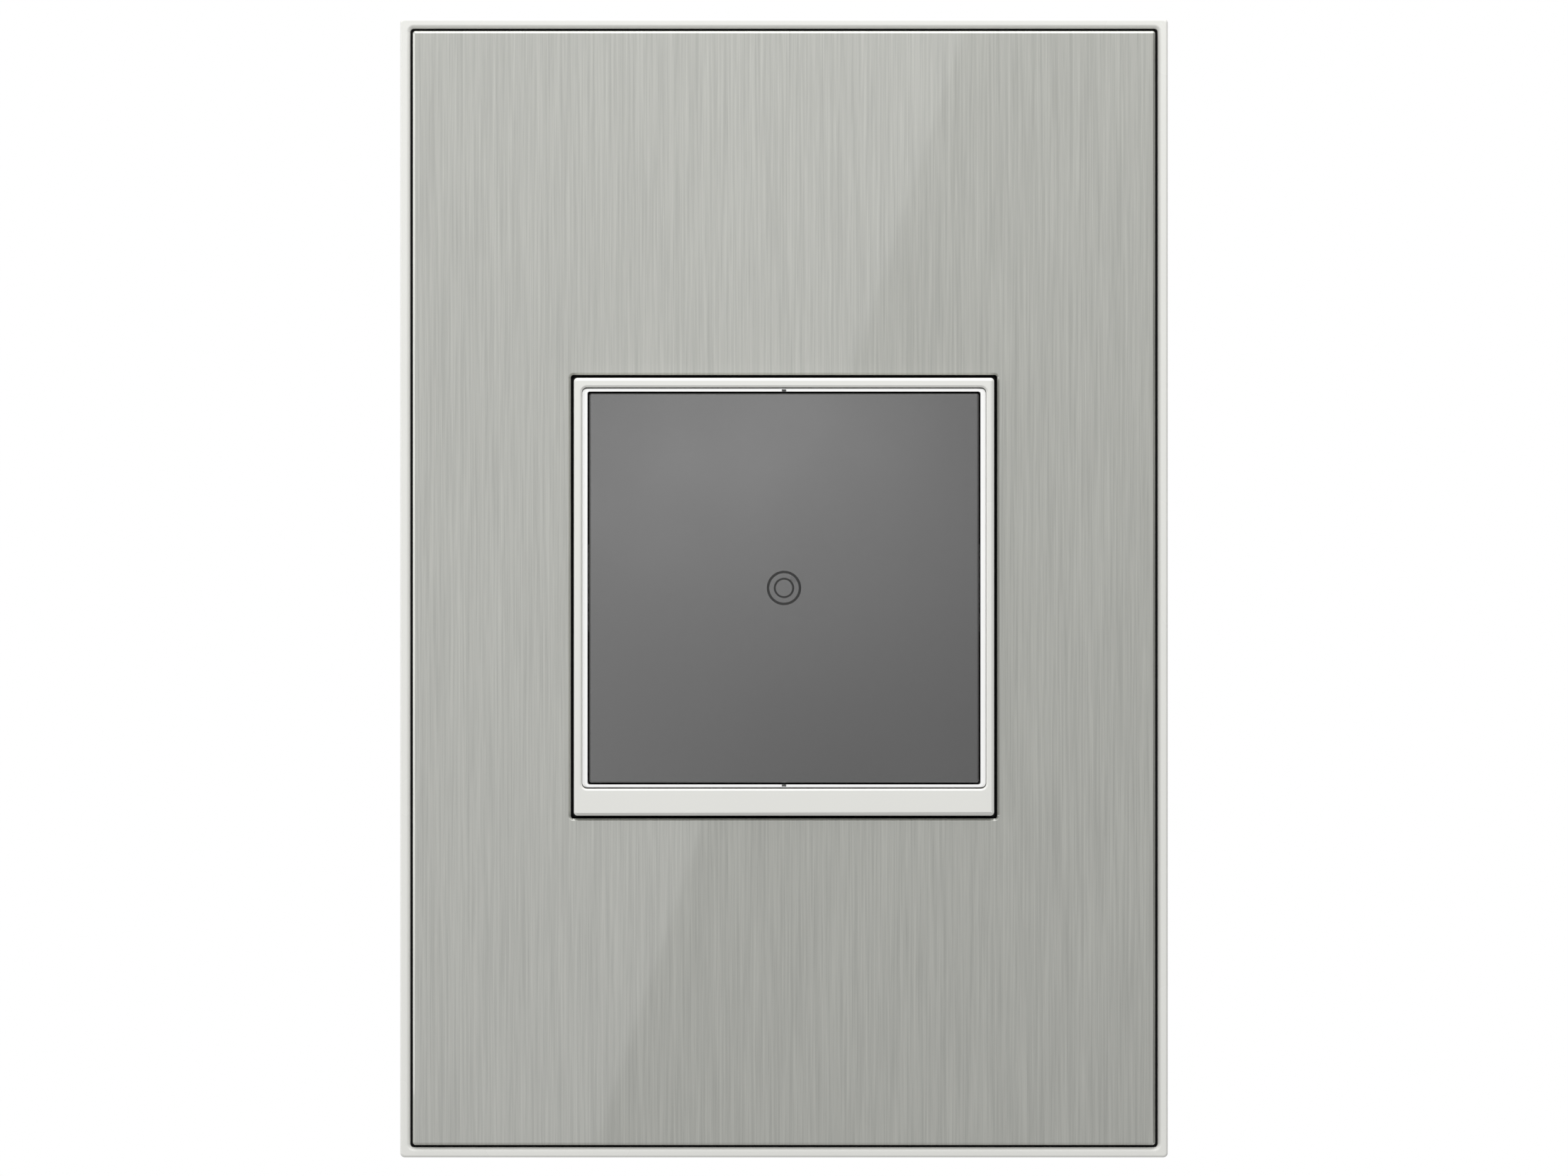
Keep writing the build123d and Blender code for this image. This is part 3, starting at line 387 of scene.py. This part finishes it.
def add_plunger_spring():
    """The small coil in the rocker's barrel, along the line from the axle through the node's middle."""
    inward = middle("plunger_spring") - middle("rocker_axle")
    start = middle("plunger_spring") - inward.normalized() * PLUNGER_COIL / 2
    path = helix(along(start, inward), PLUNGER_COIL_R, PLUNGER_COIL, PLUNGER_TURNS, PLUNGER_WIRE_R)
    coil = as_mesh("plunger_coil", [wire(path, PLUNGER_WIRE_R)], WIRE_SHARP)
    put("plunger_coil", coil, "plunger_spring")


LEAF_FLAT = 0.33
LEAF_TAPER = 0.35
LEAF_THICK = 0.3 * MM
LEAF_STEPS = 72
LEAF_TIP = 0.9
LEAF_SWEEP = 1.12
LEAF_EASE = 1.35


def leaf_height(reach):
    """How far the leaf has risen at this share of its half length: flat, a bend, then a level tip."""
    if reach < LEAF_FLAT:
        return 0.0
    share = min(LEAF_TIP, (reach - LEAF_FLAT) / (1 - LEAF_FLAT))
    return sin(share * pi / 2 * LEAF_SWEEP) ** LEAF_EASE


def add_centring_leaf():
    """The bow-shaped leaf that keeps the key level: flat on the yoke, its tips under the key's back."""
    low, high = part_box("centring_leaf")
    half = high.x
    rise = (high.y - low.y - LEAF_THICK) / leaf_height(1.0)
    spine = []
    for step in range(LEAF_STEPS + 1):
        x = half * (2 * step / LEAF_STEPS - 1)
        spine.append(Vector((x, high.y - LEAF_THICK / 2 - rise * leaf_height(abs(x) / half), 0)))
    rings = []
    for step, point in enumerate(spine):
        ahead = (spine[min(step + 1, LEAF_STEPS)] - spine[max(step - 1, 0)]).normalized()
        outward = Vector((-ahead.y, ahead.x, 0)) * LEAF_THICK / 2
        reach = abs(point.x) / half
        width = high.z * (1 - LEAF_TAPER * max(0.0, reach - LEAF_FLAT) / (1 - LEAF_FLAT))
        across = Vector((0, 0, width))
        rings.append([point + outward + across, point + outward - across,
                      point - outward - across, point - outward + across])
    bow = as_mesh("centring_bow", [rings_to_shell(rings)], LEAF_SHARP)
    leaf = put("centring_bow", bow, "centring_leaf")
    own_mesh(leaf)


BEND_R = 1.2 * MM
BEND_STEPS = 8


def bent(points, radius):
    """The path through the points, each inner corner rounded to the radius."""
    path = [points[0]]
    for before, corner, after in zip(points, points[1:], points[2:]):
        back = (before - corner).normalized()
        on = (after - corner).normalized()
        centre = corner + (back + on) * radius
        for step in range(BEND_STEPS + 1):
            angle = pi / 2 * step / BEND_STEPS
            path.append(centre - on * radius * cos(angle) - back * radius * sin(angle))
    return path + [points[-1]]


LATCH_R = 0.5 * MM
LATCH_SIDES = 14
TIP_BEND = 1.2
LATCH_BITE_Z = -10.7 * MM


def add_latch_wire():
    """The latch's wire: a foot in the housing, an arm towards the room and a bent tip in the track."""
    low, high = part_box("latch_wire")
    x = (low.x + high.x) / 2
    arm_z = high.z - LATCH_R
    foot_y = high.y - LATCH_R
    tip_y = low.y + LATCH_R
    corners_of_wire = [Vector((x, foot_y, low.z)), Vector((x, foot_y, arm_z)),
                       Vector((x, tip_y, arm_z)), Vector((x, tip_y, LATCH_BITE_Z))]
    path = bent(corners_of_wire[:3], BEND_R)[:-1] + bent(corners_of_wire[1:], LATCH_R * TIP_BEND)[1:]
    hook = as_mesh("latch_hook", [wire(path, LATCH_R, LATCH_SIDES)], WIRE_SHARP)
    put("latch_hook", hook, "latch_wire")


# ---------------------------------------------------------------- screws
SIDES = 36
THREAD_PITCH = 0.794 * MM
THREAD_DEPTH = 0.36 * MM
THREAD_ROWS = 9
THREAD_SHARP = 1.35
DOME_STEPS = 7
SLOT_WIDTH = 1.0 * MM
CROSS_WIDTH = 0.7 * MM
CROSS_TAPER = (0.6, 1.4)
POINT_TAPER = 1.6
OVAL_EDGE = 0.4
PAN_EDGE = 0.45
BINDING_EDGE = 0.55
BOX_SHANK = 1.75 * MM
BINDING_SHANK = 1.9 * MM
GROUND_SHANK = 1.6 * MM
BOX_PLAIN = (0.1 * MM, 0.5 * MM)
SMALL_PLAIN = (0.2 * MM, 0.4 * MM)
BINDING_PLAIN = (0.2 * MM, 0.5 * MM)
GROUND_PLAIN = (0.1 * MM, 0.3 * MM)
SLOT_DEPTH = 0.8 * MM
BOX_SLOT_DEPTH = 1.1 * MM
CROSS_REACH = 1.35 * MM
PAST_THE_RIM = 1.2
HEXAGON_ROWS = ((1.0, 0.8), (0.93, 0.93), (0.8, 1.0), (0.25, 1.0))
WASHER_FACE = 0.24


def row(height, radius):
    """One round row of a turned piece."""
    return height, [radius] * SIDES


def hexagon(height, across):
    """One six-sided row of a turned piece, so wide across its flats."""
    turns = [(side % (SIDES // 6)) * 2 * pi / SIDES - pi / 6 for side in range(SIDES)]
    return height, [across / 2 / cos(turn) for turn in turns]


def thread(start, stop, radius):
    """Rows of a screw thread from start to stop, running out at both ends."""
    rows = []
    count = round((stop - start) / THREAD_PITCH * THREAD_ROWS)
    for step in range(count + 1):
        height = start + (stop - start) * step / count
        run_out = min(1.0, (height - start) / THREAD_PITCH, (stop - height) / THREAD_PITCH)
        radii = []
        for side in range(SIDES):
            crest = abs(2 * ((height / THREAD_PITCH - side / SIDES) % 1.0) - 1)
            crest = min(1.0, max(0.0, THREAD_SHARP * crest - (THREAD_SHARP - 1) / 2))
            radii.append(radius - THREAD_DEPTH * (1 - crest * run_out))
        rows.append((height, radii))
    return rows


def shank(start, stop, radius, plain):
    """Rows of a threaded shank and its point, the thread so much short of start and stop."""
    neck = row(start, radius - THREAD_DEPTH)
    point = row(stop, radius - POINT_TAPER * THREAD_DEPTH)
    return [neck] + thread(start + plain[0], stop - plain[1], radius) + [point]


def dome(top, edge, radius):
    """Rows of a rounded head, from its middle at top to its rim at edge and its underside at 0."""
    rows = []
    for step in range(DOME_STEPS + 1):
        angle = pi / 2 * (1 - step / DOME_STEPS)
        rows.append(row(edge + (top - edge) * sin(angle), max(radius * cos(angle), 1e-6)))
    return rows + [row(0, radius)]


def turned(place, rows):
    """A shell turned about the place's own Z through the rows."""
    rings = []
    for height, radii in rows:
        angles = [2 * pi * side / SIDES for side in range(SIDES)]
        rings.append([place @ Vector((r * cos(a), r * sin(a), height)) for a, r in zip(angles, radii)])
    return rings_to_shell(rings)


def slot_cutter(place, top, depth, reach):
    """A straight driver slot, from above the head's top down to depth."""
    half = SLOT_WIDTH / 2
    outline = [(-reach, -half), (reach, -half), (reach, half), (-reach, half)]
    heights = (top - depth, top + depth)
    return rings_to_shell([[place @ Vector((x, y, height)) for x, y in outline] for height in heights])


def cross_cutter(place, top, depth, reach):
    """A cross-shaped driver recess that narrows towards its bottom."""
    half = CROSS_WIDTH / 2
    quarter = [(reach, -half), (reach, half), (half, half)]
    quarter_turns = [Matrix.Rotation(turn * pi / 2, 2) for turn in range(4)]
    outline = [turn @ Vector(point) for turn in quarter_turns for point in quarter]
    rings = []
    for height, scale in zip((top - depth, top + depth), CROSS_TAPER):
        rings.append([place @ Vector((x * scale, y * scale, height)) for x, y in outline])
    return rings_to_shell(rings)


def evaluated(piece):
    """The piece's mesh with its modifiers applied."""
    ready = piece.evaluated_get(bpy.context.evaluated_depsgraph_get())
    return bpy.data.meshes.new_from_object(ready)


def cut(name, shell, cutter):
    """The shell's mesh with the cutter taken out of it."""
    body = bpy.data.objects.new(name, as_mesh(name, [shell]))
    tool = bpy.data.objects.new("cutter", as_mesh("cutter", [cutter]))
    for thing in (body, tool):
        bpy.context.scene.collection.objects.link(thing)
    boolean = body.modifiers.new("cut", "BOOLEAN")
    boolean.operation = "DIFFERENCE"
    boolean.solver = "EXACT"
    boolean.object = tool
    mesh = evaluated(body)
    for thing in (body, tool):
        bpy.data.objects.remove(thing)
    return mesh


def add_screw(name, node, place, rows, cutter):
    """One screw of the rows, with its driver recess, as part of what stands for the node."""
    put(name, smooth(cut(name, turned(place, rows), cutter), TURNED_SHARP), node)


def add_box_screws():
    """The two long screws into the wall box: oval slotted heads, plain necks and 6-32 threads."""
    low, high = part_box("box_screws")
    radius = high.x
    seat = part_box("mounting_strap")[0].y
    head, length = seat - low.y, high.y - seat
    for number, z in enumerate((low.z + radius, high.z - radius), 1):
        place = along((0, seat, z), (0, 1, 0))
        rows = dome(-head, -OVAL_EDGE * head, radius)
        rows.append(row(0, BOX_SHANK - THREAD_DEPTH))
        rows += shank(-seat, length, BOX_SHANK, BOX_PLAIN)
        cutter = slot_cutter(place, -head, BOX_SLOT_DEPTH, radius * PAST_THE_RIM)
        add_screw(f"box_screw_{number}", "box_screws", place, rows, cutter)


def add_small_screws(node, head_radius, shank_radius, head_length, towards_wall):
    """Four pan-head screws with cross recesses."""
    low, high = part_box(node)
    direction = 1 if towards_wall else -1
    seat = low.y + head_length if towards_wall else high.y - head_length
    length = high.y - seat if towards_wall else seat - low.y
    for number, (x, z) in enumerate(corners(node, head_radius), 1):
        place = along((x, seat, z), (0, direction, 0))
        rows = dome(-head_length, -PAN_EDGE * head_length, head_radius)
        rows += shank(0, length, shank_radius, SMALL_PLAIN)
        cutter = cross_cutter(place, -head_length, SLOT_DEPTH, CROSS_REACH)
        add_screw(f"{node[:-1]}_{number}", node, place, rows, cutter)


def add_terminal_screw(name, node, seat, side, z):
    """A binding screw with a wide slotted head, square to the housing's side."""
    low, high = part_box(node)
    tip = high.x if side < 0 else low.x
    end = low.x if side < 0 else high.x
    head_length, length = abs(end - seat), abs(seat - tip)
    place = along((seat, (low.y + high.y) / 2, z), (-side, 0, 0))
    radius = (high.y - low.y) / 2
    rows = dome(-head_length, -BINDING_EDGE * head_length, radius)
    rows += shank(0, length, BINDING_SHANK, BINDING_PLAIN)
    cutter = slot_cutter(place, -head_length, SLOT_DEPTH, radius * PAST_THE_RIM)
    add_screw(name, node, place, rows, cutter)


def add_terminal_screws():
    """The black screw of the common and the two brass screws of the travellers."""
    low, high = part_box("wire_clamps")
    add_terminal_screw("common_binding_screw", "common_screw", low.x, -1, middle("common_screw").z)
    low_screw, high_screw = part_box("traveller_screws")
    radius = (high_screw.y - low_screw.y) / 2
    for number, z in enumerate((low_screw.z + radius, high_screw.z - radius), 1):
        add_terminal_screw(f"traveller_binding_screw_{number}", "traveller_screws", high.x, 1, z)


def add_ground_screw():
    """The green hexagonal ground screw, with a washer face and a slot."""
    low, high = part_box("ground_screw")
    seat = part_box("ground_clamp")[0].z
    centre = middle("ground_screw")
    place = along((centre.x, centre.y, seat), (0, 0, 1))
    head, length = seat - low.z, high.z - seat
    across = high.y - low.y
    rows = [hexagon(-head * height, across * width) for height, width in HEXAGON_ROWS]
    rows += [row(-head * WASHER_FACE, across / 2), row(0, across / 2)]
    rows += shank(0, length, GROUND_SHANK, GROUND_PLAIN)
    cutter = slot_cutter(place, -head, SLOT_DEPTH, across)
    add_screw("ground_binding_screw", "ground_screw", place, rows, cutter)


# ---------------------------------------------------------------- CAD shapes with softened edges
CAD_WELD = 1e-6
FLAT_WITHIN = 0.5
ROUND_ABOVE = 28
ROUND_SEGMENTS = 2


def soften(node, width):
    """The node's own shape with its hard edges rounded to the width, in its place."""
    mesh = frame["nodes"][node].data.copy()
    shape = bmesh.new()
    shape.from_mesh(mesh)
    bmesh.ops.remove_doubles(shape, verts=shape.verts, dist=CAD_WELD)
    flat = {"angle_limit": radians(FLAT_WITHIN), "verts": shape.verts, "edges": shape.edges}
    bmesh.ops.dissolve_limit(shape, use_dissolve_boundaries=False, **flat)
    shape.to_mesh(mesh)
    shape.free()
    mesh.shade_smooth()
    draft = bpy.data.objects.new(f"{node}_draft", mesh)
    bpy.context.scene.collection.objects.link(draft)
    bevel = draft.modifiers.new("round", "BEVEL")
    bevel.width = width
    bevel.segments = ROUND_SEGMENTS
    bevel.limit_method = "ANGLE"
    bevel.angle_limit = radians(ROUND_ABOVE)
    draft.modifiers.new("even", "WEIGHTED_NORMAL")
    soft = evaluated(draft)
    bpy.data.objects.remove(draft)
    put(f"{node}_softened", soft, node)


SOFTENED = {
    "key_cap": 0.06, "bezel": 0.05, "guide_frame": 0.06, "steel_panel": 0.11, "plate_rim": 0.12,
    "mounting_strap": 0.15, "screw_retainers": 0.1, "front_housing": 0.15, "rear_housing": 0.15,
    "wire_clamps": 0.12, "ground_clamp": 0.1, "key_yoke": 0.1, "contact_rocker": 0.2,
    "contact_blade": 0.08, "moving_contacts": 0.15, "fixed_contacts": 0.15, "common_terminal": 0.1,
    "upper_terminal": 0.1, "lower_terminal": 0.1,
}

add_return_springs()
add_plunger_spring()
add_centring_leaf()
add_latch_wire()
add_box_screws()
add_small_screws("strap_screws", 2.5 * MM, 1.25 * MM, 1.4 * MM, True)
add_small_screws("housing_screws", 2.3 * MM, 1.2 * MM, 1.5 * MM, False)
add_terminal_screws()
add_ground_screw()
for softened_node, edge_width in SOFTENED.items():
    soften(softened_node, edge_width * MM)


# ---------------------------------------------------------------- camera, floor and light
FRAME_PX = (2212, 1659)
VIEW_HEIGHT = 134.2 * MM
LENS = 135.0
SENSOR = 36.0
CARD_Y = -0.66
CARD_LEFT = -0.22
CARD_TOP = 0.16
CARD_EDGE_X = -0.001
CARD_SLANT = 0.33
CARD_STRENGTH = 1.08
WINDOW = 0.047
SOFTBOXES = {  # where each stands, where it aims, its size in metres and its power in watts
    "left_box": ((-0.5, -0.06, 0.05), (0, 0, 0), (0.3, 0.3), 0.6),
    "top_box": ((0.0, -0.15, 0.4), (0, 0, 0), (0.5, 0.4), 1.8),
    "upper_right_box": ((0.3, -0.8, 0.45), (0, 0, 0), (0.3, 0.3), 1.45),
    "key_box": ((0.0, CARD_Y + 0.01, 0.03), (0.0, 0.0, 0.03), (0.09, 0.034), 0.02),
}
FLOOR_SIZE = 3.0
FLOOR_Z = -0.25
FLOOR_GREY = (0.8, 0.8, 0.79)
FLOOR_TONES = ((0.78, 0.78, 0.77), (0.82, 0.82, 0.81))
FLOOR_CLOUDS = (3.0,) * 3
FLAG_SIZE = 0.5
FLAG_PLACE = (0.3, 0.13, 0.0)
FILL = 0.557


def add_camera():
    """A long lens square to the plate, so that the plate fills the frame's height."""
    width = VIEW_HEIGHT * FRAME_PX[0] / FRAME_PX[1]
    distance = width * LENS / SENSOR
    data = bpy.data.cameras.new("camera")
    data.lens = LENS
    data.sensor_width = SENSOR
    data.clip_end = 20.0
    camera = bpy.data.objects.new("camera", data)
    camera.location = (0.0, PLATE_FRONT - distance, 0.0)
    camera.rotation_euler = (radians(90), 0, 0)
    bpy.context.scene.collection.objects.link(camera)
    bpy.context.scene.camera = camera


def add_softbox(name, place, aim, size, power):
    """A rectangular light at place, turned towards aim."""
    data = bpy.data.lights.new(name, "AREA")
    data.shape = "RECTANGLE"
    data.size, data.size_y = size
    data.energy = power
    lamp = bpy.data.objects.new(name, data)
    lamp.location = place
    lamp.rotation_euler = (Vector(aim) - Vector(place)).to_track_quat("-Z", "Y").to_euler()
    bpy.context.scene.collection.objects.link(lamp)


def add_world():
    """White behind the object, and a dimmer even fill for its light."""
    world = bpy.data.worlds.new("studio")
    bpy.context.scene.world = world
    world.use_nodes = True
    tree = world.node_tree
    fill = tree.nodes["Background"]
    fill.inputs["Strength"].default_value = FILL
    seen = tree.nodes.new("ShaderNodeBackground")
    for background in (fill, seen):
        background.inputs["Color"].default_value = (1.0, 1.0, 1.0, 1.0)
    path = tree.nodes.new("ShaderNodeLightPath")
    either = tree.nodes.new("ShaderNodeMixShader")
    tree.links.new(path.outputs["Is Camera Ray"], either.inputs["Fac"])
    tree.links.new(fill.outputs["Background"], either.inputs[1])
    tree.links.new(seen.outputs["Background"], either.inputs[2])
    tree.links.new(either.outputs["Shader"], tree.nodes["World Output"].inputs["Surface"])


def add_floor():
    """A pale floor, far enough below the plate to stay out of the straight view."""
    bpy.ops.mesh.primitive_plane_add(size=FLOOR_SIZE, location=(0, 0, FLOOR_Z))
    floor_plane = bpy.context.object
    floor_plane.name = "floor"
    made, tree, shader = new_material("floor", FLOOR_GREY, 0.6)
    tint(tree, shader, noise(tree, FLOOR_CLOUDS), *FLOOR_TONES)
    floor_plane.data.materials.append(made)
    floor_plane.visible_diffuse = False
    floor_plane.visible_glossy = False


def card_edge(z):
    """Where the card's slanted edge is at this height."""
    return CARD_EDGE_X + CARD_SLANT * z


def add_card():
    """A lit card beside the camera, unseen itself; the steel's lacquer mirrors its slanted edge.

    Beside the key's mirrored place the card's edge steps back, so that the key keeps its own shading.
    """
    levels = (CARD_TOP, 0.0, -WINDOW, -CARD_TOP)
    rights = (card_edge, lambda z: -WINDOW, card_edge)
    mesh = bpy.data.meshes.new("card")
    points = []
    for upper, lower, right in zip(levels, levels[1:], rights):
        points += [(CARD_LEFT, CARD_Y, upper), (right(upper), CARD_Y, upper),
                   (right(lower), CARD_Y, lower), (CARD_LEFT, CARD_Y, lower)]
    mesh.from_pydata(points, [], [(0, 1, 2, 3), (4, 5, 6, 7), (8, 9, 10, 11)])
    card = bpy.data.objects.new("card", mesh)
    bpy.context.scene.collection.objects.link(card)
    made, _, shader = new_material("card", (0.0, 0.0, 0.0), 1.0)
    shader.inputs["Emission Color"].default_value = (1.0, 1.0, 1.0, 1.0)
    shader.inputs["Emission Strength"].default_value = CARD_STRENGTH
    card.data.materials.append(made)
    card.visible_camera = False
    card.visible_shadow = False


def add_flag():
    """A black flag on the right, unseen itself, that keeps edges turned away from the light dark."""
    upright = (0, radians(90), 0)
    bpy.ops.mesh.primitive_plane_add(size=FLAG_SIZE, location=FLAG_PLACE, rotation=upright)
    flag = bpy.context.object
    flag.name = "flag"
    made, _, shader = new_material("flag", (0.0, 0.0, 0.0), 1.0)
    shader.inputs["Specular IOR Level"].default_value = 0.0
    flag.data.materials.append(made)
    flag.visible_camera = False
    flag.visible_shadow = False


add_camera()
add_flag()
add_world()
add_floor()
add_card()
for lamp_name, settings in SOFTBOXES.items():
    add_softbox(lamp_name, *settings)
bpy.context.scene.view_settings.view_transform = "Standard"
